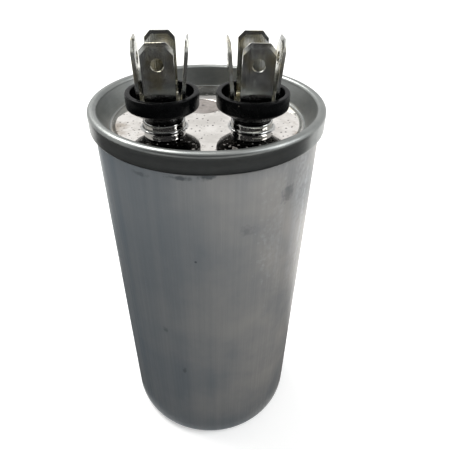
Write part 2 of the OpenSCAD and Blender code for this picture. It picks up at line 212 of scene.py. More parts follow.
def put_group(tree, group, **inputs):
    """Places a node group in a material with its own values."""
    node = add_node(tree, "ShaderNodeGroup", node_tree=group)
    for name, value in inputs.items():
        socket = node.inputs[name.replace("_", " ")]
        if isinstance(value, bpy.types.NodeSocket):
            tree.links.new(value, socket)
        else:
            socket.default_value = value
    return node.outputs


def start_material(name, metallic=0.0, **constants):
    """A material with its shader; returns it, its tree, the shader and the place on the piece."""
    material = bpy.data.materials.new(name)
    material.use_nodes = True
    tree = material.node_tree
    shader = tree.nodes["Principled BSDF"]
    shader.inputs["Metallic"].default_value = metallic
    for socket, value in constants.items():
        shader.inputs[socket.replace("_", " ")].default_value = value
    place = tree.nodes.new("ShaderNodeTexCoord").outputs["Object"]
    return material, tree, shader, place


def finish_material(tree, shader, colour, gloss=None):
    """Feeds a colour, and a roughness if it varies, to the shader."""
    tree.links.new(colour, shader.inputs["Base Color"])
    if gloss is not None:
        tree.links.new(gloss, shader.inputs["Roughness"])


def set_bump(tree, shader, height, depth, strength=1.0):
    """Feeds a height, with its full depth in metres, to the shader's normal."""
    bump = add_node(tree, "ShaderNodeBump",
                    {"Height": height, "Distance": depth, "Strength": strength})
    tree.links.new(bump.outputs["Normal"], shader.inputs["Normal"])


# Fine lines along one direction, as drawing, rolling or stamping leaves them.
drawn_lines, given, result = start_group(
    "Drawn lines",
    [("Place", "Vector", None), ("Squash", "Vector", (1, 1, 0.02)), ("Fineness", "Float", 1500.0)],
    ["Shade", "Band"])
BAND_TO_LINE = 0.16
squashed = vector_maths(drawn_lines, "MULTIPLY", given["Place"], given["Squash"])
fine = noise(drawn_lines, squashed, given["Fineness"], 3.0, Roughness=0.6)
broad = noise(drawn_lines, squashed,
              maths(drawn_lines, "MULTIPLY", given["Fineness"], BAND_TO_LINE), 2.0)
drawn_lines.links.new(spread(drawn_lines, fine, 0.3, 0.7), result.inputs["Shade"])
drawn_lines.links.new(spread(drawn_lines, broad, 0.32, 0.68), result.inputs["Band"])

# Soft clouds: stains, tarnish, dull and bright areas.
clouds, given, result = start_group(
    "Clouds",
    [("Place", "Vector", None), ("Size", "Float", 0.01), ("Low", "Float", 0.4),
     ("High", "Float", 0.65), ("Seed", "Float", 0.0)],
    ["Mask"])
cloud = add_node(clouds, "ShaderNodeTexNoise",
                 {"Vector": given["Place"], "W": given["Seed"],
                  "Scale": maths(clouds, "DIVIDE", 1.0, given["Size"]),
                  "Detail": 4.0, "Roughness": 0.55},
                 noise_dimensions="4D").outputs["Fac"]
cloud = add_node(clouds, "ShaderNodeMapRange",
                 {"Value": cloud, "From Min": given["Low"], "From Max": given["High"]},
                 interpolation_type="SMOOTHSTEP").outputs["Result"]
clouds.links.new(cloud, result.inputs["Mask"])

# Separate small specks: dirt, pits and bits of dust, no two of one size.
specks, given, result = start_group(
    "Specks",
    [("Place", "Vector", None), ("Spacing", "Float", 0.002), ("Share", "Float", 0.3),
     ("Reach", "Float", 0.2)],
    ["Mask"])
SMALLEST = 0.35
SOFT_EDGE = 0.55
cells = add_node(specks, "ShaderNodeTexVoronoi",
                 {"Vector": given["Place"],
                  "Scale": maths(specks, "DIVIDE", 1.0, given["Spacing"])})
luck = add_node(specks, "ShaderNodeSeparateColor", {"Color": cells.outputs["Color"]}).outputs
kept = maths(specks, "LESS_THAN", luck["Red"], given["Share"])
reach = maths(specks, "MULTIPLY", given["Reach"], maths(specks, "ADD", luck["Green"], SMALLEST))
dot = spread(specks, cells.outputs["Distance"], reach, maths(specks, "MULTIPLY", reach, SOFT_EDGE))
specks.links.new(maths(specks, "MULTIPLY", kept, dot), result.inputs["Mask"])

# One mark at a known place: a smudge, a scuff or a spot, with a ragged edge.
mark, given, result = start_group(
    "Mark",
    [("Place", "Vector", None), ("Spot", "Vector", (0, 0, 0)),
     ("Half size", "Vector", (0.002, 0.002, 0.002)), ("Ragged", "Float", 0.5)],
    ["Mask"])
away = vector_maths(mark, "SUBTRACT", given["Place"], given["Spot"])
away = vector_maths(mark, "DIVIDE", away, given["Half size"])
away = vector_maths(mark, "LENGTH", away, (0, 0, 0), "Value")
edge = maths(mark, "SUBTRACT", noise(mark, given["Place"], 900.0, 4.0), 0.5)
edge = maths(mark, "MULTIPLY", edge, maths(mark, "MULTIPLY", given["Ragged"], 3.0))
mark.links.new(spread(mark, maths(mark, "ADD", away, edge), 1.0, 0.35), result.inputs["Mask"])

# Drawn aluminium with a painted reflection: cool, darker grey on the left and
# warmer, lighter grey on the right. Over it go bluish clouds, draw lines, a bright
# scuffed patch, dark smudges under the seam, and painted shade that darkens the
# side towards the bottom and most at the base corner.
# Spots and half sizes are metres, and the last number is how dark a smudge is.
ALUMINIUM_WITH_DARK_REFLECTION = (0.195, 0.220, 0.240)
ALUMINIUM_WITH_BRIGHT_REFLECTION = (0.46, 0.436, 0.405)
BLUISH = (0.115, 0.150, 0.182)
PALE_BAND = (0.38, 0.37, 0.355)
DARK_LINE = (0.09, 0.10, 0.11)
SCUFFED = (0.62, 0.645, 0.68)
SMUDGE = (0.045, 0.058, 0.068)
PAINTED_LOWER_SHADE = (0.035, 0.045, 0.055)
CORNER_SHADE = (0.10, 0.125, 0.145)
SMUDGES = [
    ((0.0005, -0.0250, 0.0936), (0.0022, 0.004, 0.0011), 0.75),
    ((-0.0043, -0.0246, 0.0930), (0.0030, 0.004, 0.0005), 0.70),
    ((-0.0120, -0.0219, 0.0922), (0.0020, 0.004, 0.0006), 0.45),
    ((0.0172, -0.0181, 0.0860), (0.0018, 0.004, 0.0026), 0.45),
    ((-0.0017, -0.0249, 0.0727), (0.0004, 0.002, 0.0004), 0.85),
    ((0.0090, -0.0233, 0.0800), (0.0016, 0.004, 0.0014), 0.25),
    ((-0.0059, -0.0243, 0.0324), (0.0006, 0.003, 0.0016), 0.5),
    ((-0.0101, -0.0229, 0.0477), (0.0006, 0.003, 0.0012), 0.45)]

aluminium, tree, shader, place = start_material("can_aluminium", metallic=0.45)
lines = put_group(tree, drawn_lines, Place=place)
dark = put_group(tree, clouds, Place=place, Size=0.022, Low=0.36, High=0.66, Seed=3.1)["Mask"]
split = add_node(tree, "ShaderNodeSeparateXYZ", {"Vector": place}).outputs
# Painted reflection: the side runs from darker and cooler on the left to lighter and warmer on the
# right.
painted_reflection_side = spread(tree, split["X"], -0.014, 0.020)
colour = mix_colour(tree, painted_reflection_side, ALUMINIUM_WITH_DARK_REFLECTION, ALUMINIUM_WITH_BRIGHT_REFLECTION)
colour = mix_colour(tree, dark, colour, BLUISH, 0.55)
colour = mix_colour(tree, lines["Band"], colour, PALE_BAND, 0.32)
colour = mix_colour(tree, lines["Shade"], colour, DARK_LINE, 0.12)
scuff = put_group(tree, mark, Place=place, Spot=(0.0190, -0.0165, 0.0740),
                  Half_size=(0.008, 0.008, 0.020), Ragged=0.9)["Mask"]
colour = mix_colour(tree, maths(tree, "MULTIPLY", scuff, lines["Band"]), colour, SCUFFED, 0.45)
for spot, half, share in SMUDGES:
    stain = put_group(tree, mark, Place=place, Spot=spot, Half_size=half, Ragged=0.8)["Mask"]
    colour = mix_colour(tree, stain, colour, SMUDGE, share)
# Painted shade: the side darkens towards the bottom, and more near the base corner.
colour = mix_colour(tree, spread(tree, split["Z"], 0.080, 0.0), colour, PAINTED_LOWER_SHADE, 0.30)
colour = mix_colour(tree, spread(tree, split["Z"], 0.012, 0.0), colour, CORNER_SHADE, 0.45)
finish_material(tree, shader, colour,
                spread(tree, maths(tree, "ADD", lines["Shade"], dark), 0.0, 2.0, 0.36, 0.52))
set_bump(tree, shader, lines["Shade"], 0.00004, 0.5)
can.data.materials.append(aluminium)
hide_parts("can")
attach(can, "root")


# --- Lid ----------------------------------------------------------------------
# A disc of thin tinplate pressed into a shallow dish. Its rim is rolled twice
# with the can's mouth into the thick seam, a groove runs round the deck, and two
# collars are drawn up from the deck where the terminals pass through.

DECK_Z = CAN_H - 4.2
LID_T = 0.35
FLAT_R = 20.2
GROOVE_DEPTH = 0.4
SEAM_R = 25.985
SEAM_EDGE = 0.9
CHUCK_R = 23.92
CURL_R = 0.605
CURL_MID = 25.385
CURL_Z = SEAM_FOOT + CURL_R
COLLAR_FOOT = 5.35
COLLAR_BORE = 3.7
COLLAR_H = 1.9
COLLAR_LIP = 0.45
SEAT_R = 4.4
SEAT_DEPTH = 0.2
FILL_HOLE_R = 1.2


def middle_of(cad_node):
    """The middle of a CAD node seen from above."""
    low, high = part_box(cad_node)
    return ((low.x + high.x) * 500, (low.y + high.y) * 500)


def pick(piece, kind, test):
    """Selects in edit mode the vertices, edges or faces that pass a test.

    The test is given the item and the middle of its corners.
    """
    bpy.ops.mesh.select_mode(type=kind)
    bpy.ops.mesh.select_all(action="DESELECT")
    mesh = bmesh.from_edit_mesh(piece.data)
    for item in {"VERT": mesh.verts, "EDGE": mesh.edges, "FACE": mesh.faces}[kind]:
        corners = [item.co] if kind == "VERT" else [vert.co for vert in item.verts]
        if test(item, sum(corners, Vector()) / len(corners) * 1000):
            item.select_set(True)
    mesh.select_flush_mode()
    bmesh.update_edit_mesh(piece.data)


left_axis = middle_of("left_insulator")
right_axis = middle_of("right_insulator")
seat_axis = middle_of("fill_plug")

lid = start_piece("seamed_lid")
turn_section(
    [(FLAT_R, DECK_Z), (20.55, DECK_Z), (20.75, DECK_Z - 0.06), (20.95, DECK_Z - 0.3),
     (21.15, DECK_Z - GROOVE_DEPTH), (21.7, DECK_Z - GROOVE_DEPTH), (21.88, DECK_Z - 0.28),
     (21.95, DECK_Z), (22.0, DECK_Z + 0.3)]
    + arc((CHUCK_R + SEAM_EDGE, CAN_H - SEAM_EDGE), SEAM_EDGE, 180, 90, 10)
    + arc((SEAM_R - SEAM_EDGE, CAN_H - SEAM_EDGE), SEAM_EDGE, 90, 0, 10)
    + [(SEAM_R, CAN_H - 1.5), (SEAM_R - 0.03, CAN_H - 2.2), (SEAM_R, CAN_H - 3.1)]
    + arc((CURL_MID, CURL_Z), CURL_R, 0, -180, 12)
    + [(CURL_MID - CURL_R, HOOK_TOP), (CURL_MID - CURL_R + LID_T, HOOK_TOP)]
    + arc((CURL_MID, CURL_Z), CURL_R - LID_T, 180, 360, 8)
    + arc((SEAM_R - SEAM_EDGE, CAN_H - SEAM_EDGE), SEAM_EDGE - LID_T, 0, 90, 5)
    + arc((CHUCK_R + SEAM_EDGE, CAN_H - SEAM_EDGE), SEAM_EDGE - LID_T, 90, 180, 5)
    + [(22.38, DECK_Z + 0.2), (22.3, DECK_Z - 0.5), (21.85, DECK_Z - GROOVE_DEPTH - LID_T),
       (20.85, DECK_Z - GROOVE_DEPTH - LID_T), (20.45, DECK_Z - LID_T)])
for axis in (left_axis, right_axis):
    turn_section(
        [(COLLAR_FOOT, DECK_Z), (COLLAR_FOOT - 0.3, DECK_Z), (4.8, DECK_Z + 0.05),
         (4.63, DECK_Z + 0.16), (4.53, DECK_Z + 0.32), (4.48, DECK_Z + 0.55),
         (4.5, DECK_Z + 0.85), (4.54, DECK_Z + 1.15)]
        + arc((4.1, DECK_Z + COLLAR_H - COLLAR_LIP), COLLAR_LIP, 0, 90, 8)
        + [(COLLAR_BORE + 0.1, DECK_Z + COLLAR_H), (COLLAR_BORE, DECK_Z + COLLAR_H - 0.1),
           (COLLAR_BORE, DECK_Z - LID_T)], axis, 72)
turn_section(
    [(SEAT_R + 0.3, DECK_Z), (SEAT_R + 0.12, DECK_Z), (SEAT_R, DECK_Z - 0.08),
     (SEAT_R, DECK_Z - SEAT_DEPTH), (FILL_HOLE_R, DECK_Z - SEAT_DEPTH),
     (FILL_HOLE_R, DECK_Z - SEAT_DEPTH - LID_T), (SEAT_R + 0.4, DECK_Z - SEAT_DEPTH - LID_T),
     (SEAT_R + 0.4, DECK_Z - LID_T)],
    seat_axis, 64)
bpy.ops.mesh.select_all(action="SELECT")
bpy.ops.mesh.remove_doubles(threshold=2e-6)
for height in (DECK_Z, DECK_Z - LID_T):
    pick(lid, "EDGE", lambda edge, middle: edge.is_boundary and abs(middle.z - height) < 0.01)
    bpy.ops.mesh.fill(use_beauty=True)
close_piece(lid, 40)

# Tinplate: bright on the deck, greyer on the collars, dull on the rolled seam.
# Dirt specks lie on the deck, brown stains towards its edge, and a dull film
# behind the filling hole.
BRIGHT_TIN = (0.84, 0.81, 0.77)
CLOUDED_TIN = (0.48, 0.455, 0.42)
BROWN_STAIN = (0.36, 0.30, 0.24)
DULL_FILM = (0.15, 0.145, 0.135)
SEAM_GREY = (0.25, 0.26, 0.25)
SEAM_DARK = (0.16, 0.17, 0.17)
SEAM_RUB = (0.12, 0.13, 0.135)
COLLAR_GREY = (0.42, 0.42, 0.41)
DIRT = (0.008, 0.0075, 0.007)

tinplate, tree, shader, place = start_material("lid_tinplate", Specular_IOR_Level=0.1)
flat = vector_maths(tree, "MULTIPLY", place, (1, 1, 0))
out = vector_maths(tree, "LENGTH", flat, (0, 0, 0), "Value")
on_seam = spread(tree, out, 0.0210, 0.0217)
near_edge = spread(tree, out, 0.0120, 0.0200)
dull = put_group(tree, clouds, Place=place, Size=0.006, Low=0.42, High=0.68, Seed=1.7)["Mask"]
brown = put_group(tree, clouds, Place=place, Size=0.0045, Low=0.46, High=0.66, Seed=5.2)["Mask"]
film = put_group(tree, mark, Place=place,
                 Spot=(seat_axis[0] / 1000, seat_axis[1] / 1000 + 0.0066, DECK_Z / 1000),
                 Half_size=(0.012, 0.0036, 0.004), Ragged=0.35)["Mask"]
deck_colour = mix_colour(tree, dull, BRIGHT_TIN, CLOUDED_TIN, 0.55)
deck_colour = mix_colour(tree, maths(tree, "MULTIPLY", brown, near_edge),
                         deck_colour, BROWN_STAIN, 0.80)
deck_colour = mix_colour(tree, film, deck_colour, DULL_FILM, 0.8)
rub = put_group(tree, drawn_lines, Place=place, Squash=(0.15, 0.15, 1.0), Fineness=1800.0)
seam_colour = mix_colour(tree, dull, SEAM_GREY, SEAM_DARK, 0.5)
seam_colour = mix_colour(tree, rub["Shade"], seam_colour, SEAM_RUB, 0.25)
colour = mix_colour(tree, on_seam, deck_colour, seam_colour)
on_collar = 0.0
for axis in (left_axis, right_axis):
    away = vector_maths(tree, "DISTANCE", flat, (axis[0] / 1000, axis[1] / 1000, 0), "Value")
    on_collar = maths(tree, "MAXIMUM", on_collar, spread(tree, away, 0.00535, 0.0050))
colour = mix_colour(tree, on_collar, colour, COLLAR_GREY)
small = put_group(tree, specks, Place=place, Spacing=0.0009, Share=0.80, Reach=0.25)["Mask"]
large = put_group(tree, specks, Place=place, Spacing=0.0046, Share=0.60, Reach=0.13)["Mask"]
dirt = maths(tree, "MULTIPLY", maths(tree, "MAXIMUM", small, large),
             maths(tree, "SUBTRACT", 1.0, on_seam), clamp=True)
colour = mix_colour(tree, dirt, colour, DIRT, 0.9)
gloss = maths(tree, "ADD", spread(tree, dull, 0.0, 1.0, 0.035, 0.09),
              maths(tree, "MULTIPLY", on_seam, 0.30))
gloss = maths(tree, "ADD", gloss, maths(tree, "MULTIPLY", dirt, 0.5))
finish_material(tree, shader, colour, gloss)
tree.links.new(maths(tree, "SUBTRACT", 1.0, dirt), shader.inputs["Metallic"])
set_bump(tree, shader, noise(tree, place, 160.0, 2.0), 0.00012, 0.25)
lid.data.materials.append(tinplate)
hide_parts("lid")
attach(lid, "root")


# --- Filling-hole plug ----------------------------------------------------------
# A shallow blob of sealing compound in the round seat behind the terminals. It
# closes the hole the can is filled through, and has a small dimple in its middle.

PLUG_R = 4.18
PLUG_STEM_R = FILL_HOLE_R - 0.05
PLUG_LOW = -0.95
PLUG_TOP = 0.235

plug = start_piece("filling_plug")
turn_section(
    [(0, DECK_Z + PLUG_LOW), (PLUG_STEM_R, DECK_Z + PLUG_LOW), (PLUG_STEM_R, DECK_Z - SEAT_DEPTH),
     (PLUG_R, DECK_Z - SEAT_DEPTH), (PLUG_R + 0.02, DECK_Z - 0.12), (4.0, DECK_Z - 0.03),
     (3.5, DECK_Z + 0.07), (2.8, DECK_Z + 0.14), (2.0, DECK_Z + 0.2), (1.2, DECK_Z + PLUG_TOP),
     (0.6, DECK_Z + PLUG_TOP), (0.3, DECK_Z + 0.18), (0.12, DECK_Z + 0.08), (0, DECK_Z + 0.06)],
    seat_axis, 64)
close_piece(plug, 60)

# Sealing compound: beige grey, blotched, with dirt caught in the dimple.
BEIGE = (0.27, 0.24, 0.225)
BEIGE_DARK = (0.19, 0.17, 0.155)
DIMPLE_DIRT = (0.06, 0.05, 0.05)

compound, tree, shader, place = start_material("plug_compound")
blotch = put_group(tree, clouds, Place=place, Size=0.002, Low=0.35, High=0.7, Seed=2.0)["Mask"]
spot = put_group(tree, mark, Place=place,
                 Spot=(seat_axis[0] / 1000, seat_axis[1] / 1000, DECK_Z / 1000),
                 Half_size=(0.0007, 0.0007, 0.002), Ragged=0.5)["Mask"]
colour = mix_colour(tree, blotch, BEIGE, BEIGE_DARK)
colour = mix_colour(tree, spot, colour, DIMPLE_DIRT)
finish_material(tree, shader, colour, spread(tree, blotch, 0.0, 1.0, 0.38, 0.58))
set_bump(tree, shader, noise(tree, place, 1400.0, 3.0), 0.00008, 0.5)
plug.data.materials.append(compound)
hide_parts("fill_plug")
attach(plug, "root")


# --- Insulators -----------------------------------------------------------------
# Two black cups moulded in phenolic. Each stands on a collar with its cone and
# passes through it with its neck, and carries the tabs on the floor of its cup.

CUP_R = 7.7
CUP_TOP = 7.75
CUP_FLOOR = 5.0
CUP_BELLY_R = 0.7
RIM = 1.1
LIP_OUT = 0.25
LIP_IN = 0.2
CUP_NECK_R = 3.65
NECK_LOW = -1.35
CONE_FOOT = 1.95
SHANK_R = 1.65

insulator = start_piece("left_cup")
turn_section(
    [(SHANK_R, DECK_Z + NECK_LOW), (CUP_NECK_R, DECK_Z + NECK_LOW),
     (CUP_NECK_R, DECK_Z + CONE_FOOT), (4.1, DECK_Z + CONE_FOOT)]
    + arc((4.05, DECK_Z + 2.3), 0.35, -60, 0, 5)
    + [(4.42, DECK_Z + 2.45)]
    + arc((CUP_R - CUP_BELLY_R, DECK_Z + 5.05), CUP_BELLY_R, -45, 0, 8)
    + arc((CUP_R - LIP_OUT, DECK_Z + CUP_TOP - LIP_OUT), LIP_OUT, 0, 90, 6)
    + arc((CUP_R - RIM + LIP_IN, DECK_Z + CUP_TOP - LIP_IN), LIP_IN, 90, 180, 6)
    + [(CUP_R - RIM - 0.15, DECK_Z + CUP_FLOOR + 0.6),
       (CUP_R - RIM - 0.3, DECK_Z + CUP_FLOOR + 0.2), (CUP_R - RIM - 0.6, DECK_Z + CUP_FLOOR),
       (SHANK_R, DECK_Z + CUP_FLOOR), (SHANK_R, DECK_Z + NECK_LOW)],
    left_axis, 96)
close_piece(insulator, 40)

# Phenolic: deep black with a slight haze and a few specks of pale dust.
BLACK = (0.0012, 0.0014, 0.0017)
BLACK_HAZE = (0.004, 0.0043, 0.0046)
PALE_DUST = (0.35, 0.32, 0.28)

phenolic, tree, shader, place = start_material("black_moulding", Specular_IOR_Level=0.06)
haze = put_group(tree, clouds, Place=place, Size=0.003, Low=0.4, High=0.75, Seed=4.0)["Mask"]
dust = put_group(tree, specks, Place=place, Spacing=0.0022, Share=0.10, Reach=0.09)["Mask"]
colour = mix_colour(tree, haze, BLACK, BLACK_HAZE)
colour = mix_colour(tree, dust, colour, PALE_DUST, 0.8)
finish_material(tree, shader, colour, spread(tree, haze, 0.0, 1.0, 0.24, 0.34))
set_bump(tree, shader, noise(tree, place, 2500.0, 2.0), 0.00002, 0.3)
insulator.data.materials.append(phenolic)


def copy_piece(piece, name, shift=(0, 0, 0)):
    """Copies a piece with its own mesh, shifts it in metres and puts its place into the mesh."""
    bpy.ops.object.select_all(action="DESELECT")
    piece.select_set(True)
    bpy.context.view_layer.objects.active = piece
    bpy.ops.object.duplicate(linked=False)
    made = bpy.context.object
    made.name = made.data.name = name
    bpy.ops.transform.translate(value=shift)
    bpy.ops.object.transform_apply(location=True, rotation=True, scale=True)
    return made


left_to_right = ((right_axis[0] - left_axis[0]) / 1000, (right_axis[1] - left_axis[1]) / 1000, 0)
right_insulator = copy_piece(insulator, "right_cup", left_to_right)
for piece, cad_node in ((insulator, "left_insulator"), (right_insulator, "right_insulator")):
    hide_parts(cad_node)
    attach(piece, "root")


# --- Tabs -----------------------------------------------------------------------
# Each terminal is one cross stamped from tinned brass strip, with its four arms
# folded up into push-on tabs. Their tips are coined thin, cut at the corners and
# pierced, and each arm leans out by its own few degrees.

TAB_W = 6.35
TAB_T = 0.8
TAB_REACH = 4.95
TAB_MIDDLE = TAB_REACH - TAB_T / 2
TAB_TIP = 18.32 - CUP_FLOOR
KNEE = 8.3 - CUP_FLOOR
BEND_R = 0.6
TIP_CUT = 1.3
COIN = 0.22
COIN_RUN = 0.7
HOLE_R = 1.2
HOLE_DROP = 4.0
EDGE_ROUND = 0.09
ARMS_TURN = 4.0
# For each arm, its lean outwards and its tilt along the strip's width, in degrees.
LEFT_LEANS = [(6.5, 0.4), (3.5, -0.3), (1.5, 0.3), (1.2, 0.8)]
RIGHT_LEANS = [(4.5, -0.4), (2.2, 0.9), (5.0, 0.3), (1.2, -2.0)]


def apply_modifier(piece, kind, **settings):
    """Adds a modifier, sets it and applies it."""
    bpy.context.view_layer.objects.active = piece
    modifier = piece.modifiers.new(kind.title(), kind)
    for name, value in settings.items():
        setattr(modifier, name, value)
    bpy.ops.object.modifier_apply(modifier=modifier.name)


def pierce(piece, radius, corners, location=(0, 0, 0), rotation=(0, 0, 0)):
    """Punches a round hole through a strip."""
    bpy.ops.object.select_all(action="DESELECT")
    bpy.ops.mesh.primitive_cylinder_add(vertices=corners, radius=radius / 1000, depth=0.003,
                                        location=Vector(location) / 1000, rotation=rotation)
    punch = bpy.context.object
    bpy.ops.object.transform_apply(location=True, rotation=True, scale=True)
    apply_modifier(piece, "BOOLEAN", object=punch, operation="DIFFERENCE", solver="EXACT")
    bpy.data.objects.remove(punch)


def cut_off(piece, test):
    """Deletes the faces that pass a test on their middle."""
    bpy.context.view_layer.objects.active = piece
    bpy.ops.object.mode_set(mode="EDIT")
    pick(piece, "FACE", lambda face, middle: test(middle))
    bpy.ops.mesh.delete(type="FACE")
    bpy.ops.object.mode_set(mode="OBJECT")


# The outer face of one arm, from the cross's edge to the tip, drawn as a chain and
# widened, then given the strip's thickness inwards.
arm = start_piece("tab_arm")
half = TAB_W / 2
bend_out = BEND_R + TAB_T
draw_chain([(x, -half, z) for x, z in
            [(half, 0)] + arc((TAB_REACH - bend_out, bend_out), bend_out, -90, 0, 8)
            + [(TAB_REACH, KNEE - 0.6), (TAB_REACH, KNEE), (TAB_REACH, KNEE + 1.2),
               (TAB_REACH, TAB_TIP)]])
bpy.ops.mesh.extrude_region_move(TRANSFORM_OT_translate={"value": (0, TAB_W / 1000, 0)})
bpy.ops.object.mode_set(mode="OBJECT")
apply_modifier(arm, "SOLIDIFY", thickness=TAB_T / 1000, offset=1, use_even_offset=True)

# Tip corners cut off, then the coined border: the faces are split inside the tip's
# outline, straight across and along both slopes, and the outline is squeezed thinner.
bpy.ops.object.mode_set(mode="EDIT")
pick(arm, "EDGE", lambda edge, middle: middle.z > TAB_TIP - 0.01
     and abs(abs(middle.y) - half) < 0.01
     and abs(edge.verts[0].co.y - edge.verts[1].co.y) < 1e-5)
bpy.ops.mesh.bevel(offset=TIP_CUT / 1000, segments=1, affect="EDGES")
for slope in (-1, 0, 1):
    bpy.ops.mesh.select_all(action="SELECT")
    if slope:
        point = (0, slope * (half - TIP_CUT) / 1000, (TAB_TIP - COIN_RUN * math.sqrt(2)) / 1000)
    else:
        point = (0, 0, (TAB_TIP - COIN_RUN) / 1000)
    bpy.ops.mesh.bisect(plane_co=point, plane_no=Vector((0, slope, 1)).normalized())
pick(arm, "VERT", lambda vert, middle: middle.z > TAB_TIP - 0.01
     or (middle.z > TAB_TIP - TIP_CUT - 0.01
         and abs(middle.y) + middle.z > half - TIP_CUT + TAB_TIP - 0.02))
bpy.ops.transform.resize(value=(1 - 2 * COIN / TAB_T, 1, 1),
                         center_override=(TAB_MIDDLE / 1000, 0, 0))
bpy.ops.mesh.select_all(action="SELECT")
bpy.ops.mesh.normals_make_consistent(inside=False)
bpy.ops.object.mode_set(mode="OBJECT")
pierce(arm, HOLE_R, 40, (TAB_MIDDLE, 0, TAB_TIP - HOLE_DROP), (0, math.pi / 2, 0))

# The cross's middle: a square plate with the rivet's hole, its four sides open so
# that the arms grow out of them.
plate = start_piece("tab_plate")
draw_chain([(-half, -half, 0), (half, -half, 0), (half, half, 0), (-half, half, 0),
            (-half, -half, 0)])
bpy.ops.mesh.remove_doubles(threshold=2e-6)
bpy.ops.mesh.edge_face_add()
bpy.ops.mesh.extrude_region_move(TRANSFORM_OT_translate={"value": (0, 0, TAB_T / 1000)})
bpy.ops.mesh.select_all(action="SELECT")
bpy.ops.mesh.normals_make_consistent(inside=False)
bpy.ops.object.mode_set(mode="OBJECT")
pierce(plate, SHANK_R, 32)
cut_off(plate, lambda middle: max(abs(middle.x), abs(middle.y)) > half - 0.01)
cut_off(arm, lambda middle: middle.x < half + 0.01)


def turn_picked(degrees, axis, centre=(0, 0, 0)):
    """Turns what is selected right-handed round an axis.

    With no window the operator turns the other way, so the angle's sign is swapped.
    """
    bpy.ops.transform.rotate(value=math.radians(-degrees), orient_axis=axis,
                             center_override=Vector(centre) / 1000)


def fold_terminal(name, axis, leans):
    """Sets four arms round a plate, leans each above its knee and joins all into one cross."""
    parts = [copy_piece(plate, name)]
    knee = (TAB_MIDDLE, 0, KNEE)
    for i, (lean, tilt) in enumerate(leans):
        part = copy_piece(arm, name + "_arm")
        bpy.ops.object.mode_set(mode="EDIT")
        pick(part, "VERT", lambda vert, middle: middle.z > KNEE + 0.01)
        turn_picked(lean, "Y", knee)
        turn_picked(tilt, "X", knee)
        bpy.ops.mesh.select_all(action="SELECT")
        turn_picked(90 * i, "Z")
        bpy.ops.object.mode_set(mode="OBJECT")
        parts.append(part)
    bpy.ops.object.select_all(action="DESELECT")
    for part in parts:
        part.select_set(True)
    cross = parts[0]
    bpy.context.view_layer.objects.active = cross
    bpy.ops.object.join()
    bpy.ops.object.mode_set(mode="EDIT")
    bpy.ops.mesh.select_all(action="SELECT")
    bpy.ops.mesh.remove_doubles(threshold=3e-6)
    bpy.ops.mesh.normals_make_consistent(inside=False)
    bpy.ops.object.mode_set(mode="OBJECT")
    apply_modifier(cross, "BEVEL", width=EDGE_ROUND / 1000, segments=2,
                   limit_method="ANGLE", angle_limit=math.radians(25))
    bpy.ops.object.mode_set(mode="EDIT")
    bpy.ops.mesh.select_all(action="SELECT")
    turn_picked(ARMS_TURN, "Z")
    bpy.ops.transform.translate(value=Vector((*axis, DECK_Z + CUP_FLOOR)) / 1000)
    bpy.ops.object.mode_set(mode="OBJECT")
    bpy.ops.object.shade_smooth_by_angle(angle=math.radians(13))
    return cross


left_tabs = fold_terminal("left_tab_cross", left_axis, LEFT_LEANS)
right_tabs = fold_terminal("right_tab_cross", right_axis, RIGHT_LEANS)
for spare in (arm, plate):
    bpy.data.objects.remove(spare)

# Tinned brass: grey tin with rolling lines along the strip, and brass showing
# through in soft yellowish patches.
TIN = (0.42, 0.43, 0.41)
TIN_DULL = (0.36, 0.36, 0.37)
BARE_BRASS = (0.50, 0.44, 0.27)
ROLL_LINE = (0.25, 0.24, 0.22)

tinned, tree, shader, place = start_material("tinned_tab", metallic=1.0)
lines = put_group(tree, drawn_lines, Place=place, Squash=(1, 1, 0.06), Fineness=2200.0)
bare = put_group(tree, clouds, Place=place, Size=0.0035, Low=0.42, High=0.7, Seed=7.5)["Mask"]
grey = put_group(tree, clouds, Place=place, Size=0.0022, Low=0.4, High=0.7, Seed=9.0)["Mask"]
colour = mix_colour(tree, bare, TIN, BARE_BRASS, 0.8)
colour = mix_colour(tree, grey, colour, TIN_DULL, 0.3)
colour = mix_colour(tree, lines["Shade"], colour, ROLL_LINE, 0.2)
finish_material(tree, shader, colour,
                spread(tree, maths(tree, "ADD", grey, lines["Shade"]), 0.0, 2.0, 0.12, 0.26))
set_bump(tree, shader, lines["Shade"], 0.00002, 0.4)
for piece, cad_node in ((left_tabs, "left_tabs"), (right_tabs, "right_tabs")):
    piece.data.materials.append(tinned)
    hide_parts(cad_node)
    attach(piece, "root")


# --- Rivets ---------------------------------------------------------------------
# A tinned rivet through each terminal clamps the cross, the cup, the lower
# insulator, the washer and the lead; only its domed head shows, in the cup.

RIVET_FLANGE_R = 2.6
RIVET_FLANGE_T = 0.8
RIVET_SHANK_R = 1.6
RIVET_HEAD_H = 0.8

rivet = start_piece("left_rivet_pin")
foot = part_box("left_rivet")[0].z * 1000
head = DECK_Z + CUP_FLOOR + TAB_T
turn_section(
    [(0, foot), (RIVET_FLANGE_R - 0.4, foot), (RIVET_FLANGE_R, foot + 0.4),
     (RIVET_FLANGE_R, foot + RIVET_FLANGE_T), (RIVET_SHANK_R, foot + RIVET_FLANGE_T),
     (RIVET_SHANK_R, head), (RIVET_FLANGE_R, head)]
    + arc((2.05, head + 0.25), 0.55, 0, 60, 5)
    + [(1.4, head + 0.78), (0.7, head + RIVET_HEAD_H), (0, head + RIVET_HEAD_H)],
    left_axis, 48)
close_piece(rivet, 40)

# Tinned steel, blotched.
TINNED_STEEL = (0.58, 0.57, 0.54)
TINNED_STEEL_DULL = (0.33, 0.33, 0.33)

